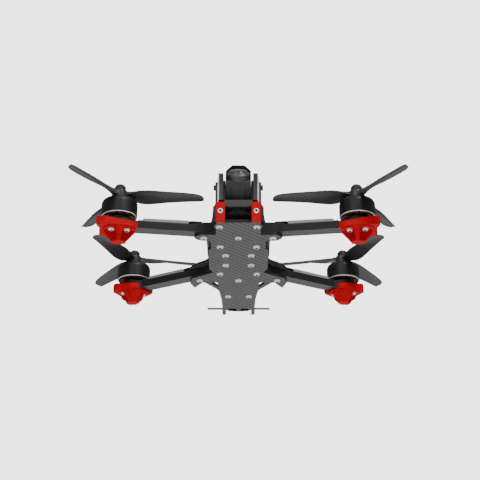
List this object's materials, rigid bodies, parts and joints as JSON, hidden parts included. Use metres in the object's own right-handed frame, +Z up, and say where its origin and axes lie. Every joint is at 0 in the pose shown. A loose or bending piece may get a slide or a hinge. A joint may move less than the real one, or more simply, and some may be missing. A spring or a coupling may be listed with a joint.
{
  "type": "fpv racing drone",
  "caption": "Five-inch quadcopter with squashed-X carbon arms, three-blade propellers, red rubber motor guards that double as feet, and a tilting nose camera in an open cage.",
  "frame": {"origin": "on the ground under the middle of the craft's box, with the four foot pads at height zero", "axes": "+Z up along the motor shafts, -Y towards the nose camera, +X towards the craft's own left"},
  "size_m": [0.251, 0.2388, 0.0586],
  "materials": {
    "carbon_fibre": "satin woven carbon composite",
    "red_rubber": "matte flexible plastic",
    "black_anodised": "black anodised, semi-gloss",
    "copper_windings": "enamelled wire",
    "propeller_plastic": "semi-gloss",
    "grey_plastic": "satin",
    "black_plastic": "satin",
    "black_rubber": "matte",
    "lens_glass": "polished coated glass in a dark barrel",
    "circuit_board": "solder mask",
    "connector_yellow": "moulded nylon",
    "webbing": "woven"
  },
  "bodies": {
    "airframe": {"bottom_plate": "carbon_fibre", "mid_plate": "carbon_fibre", "top_plate": "carbon_fibre", "standoff_front_left": "black_anodised", "standoff_front_right": "black_anodised", "standoff_middle_left": "black_anodised", "standoff_middle_right": "black_anodised", "standoff_tail_left": "black_anodised", "standoff_tail_right": "black_anodised", "arm_front_left": "carbon_fibre", "arm_front_right": "carbon_fibre", "arm_rear_left": "carbon_fibre", "arm_rear_right": "carbon_fibre", "motor_guard_front_left": "red_rubber", "motor_guard_front_right": "red_rubber", "motor_guard_rear_left": "red_rubber", "motor_guard_rear_right": "red_rubber", "wire_cover_front_left": "grey_plastic", "wire_cover_front_right": "grey_plastic", "wire_cover_rear_left": "grey_plastic", "wire_cover_rear_right": "grey_plastic", "motor_stator_front_left": "copper_windings", "motor_stator_front_right": "copper_windings", "motor_stator_rear_left": "copper_windings", "motor_stator_rear_right": "copper_windings", "camera_cradle": "black_plastic", "cage_plate_left": "black_anodised", "cage_plate_right": "black_anodised", "nose_bumper_left": "red_rubber", "nose_bumper_right": "red_rubber", "side_panel_left": "black_plastic", "side_panel_right": "black_plastic", "esc_board": "circuit_board", "flight_controller": "circuit_board", "video_unit": "black_anodised", "capacitor": "black_plastic", "battery_socket": "connector_yellow", "tail_mount": "black_rubber", "receiver_antenna": "black_plastic", "video_antenna": "black_plastic", "receiver": "circuit_board", "grip_pad": "black_rubber", "battery_strap": "webbing"},
    "rotor_front_left": {"motor_bell_front_left": "black_anodised", "propeller_front_left": "propeller_plastic", "prop_nut_front_left": "black_anodised"},
    "rotor_front_right": {"motor_bell_front_right": "black_anodised", "propeller_front_right": "propeller_plastic", "prop_nut_front_right": "black_anodised"},
    "rotor_rear_left": {"motor_bell_rear_left": "black_anodised", "propeller_rear_left": "propeller_plastic", "prop_nut_rear_left": "black_anodised"},
    "rotor_rear_right": {"motor_bell_rear_right": "black_anodised", "propeller_rear_right": "propeller_plastic", "prop_nut_rear_right": "black_anodised"},
    "camera": {"camera_body": "black_plastic", "camera_lens": "lens_glass", "camera_screw_left": "black_anodised", "camera_screw_right": "black_anodised"},
    "link_button": {"video_link_button": "grey_plastic"}
  },
  "joints": [
    {"name": "rotor_front_left_spin", "type": "hinge", "parent": "airframe", "child": "rotor_front_left", "pos_m": [0.08925, -0.06274, 0.0345], "axis": [0, 0, 1], "continuous": true},
    {"name": "rotor_front_right_spin", "type": "hinge", "parent": "airframe", "child": "rotor_front_right", "pos_m": [-0.08925, -0.06274, 0.0345], "axis": [0, 0, 1], "continuous": true},
    {"name": "rotor_rear_left_spin", "type": "hinge", "parent": "airframe", "child": "rotor_rear_left", "pos_m": [0.0877, 0.06576, 0.0345], "axis": [0, 0, 1], "continuous": true},
    {"name": "rotor_rear_right_spin", "type": "hinge", "parent": "airframe", "child": "rotor_rear_right", "pos_m": [-0.0877, 0.06576, 0.0345], "axis": [0, 0, 1], "continuous": true},
    {"name": "camera_tilt", "type": "hinge", "parent": "airframe", "child": "camera", "pos_m": [0, -0.07099, 0.041], "axis": [-1, 0, 0], "range_deg": [-35, 15]},
    {"name": "link_button_press", "type": "slide", "parent": "airframe", "child": "link_button", "axis": [0, -1, 0], "range_m": [0, 0.0004], "stiffness_N_per_m": 300}
  ]
}
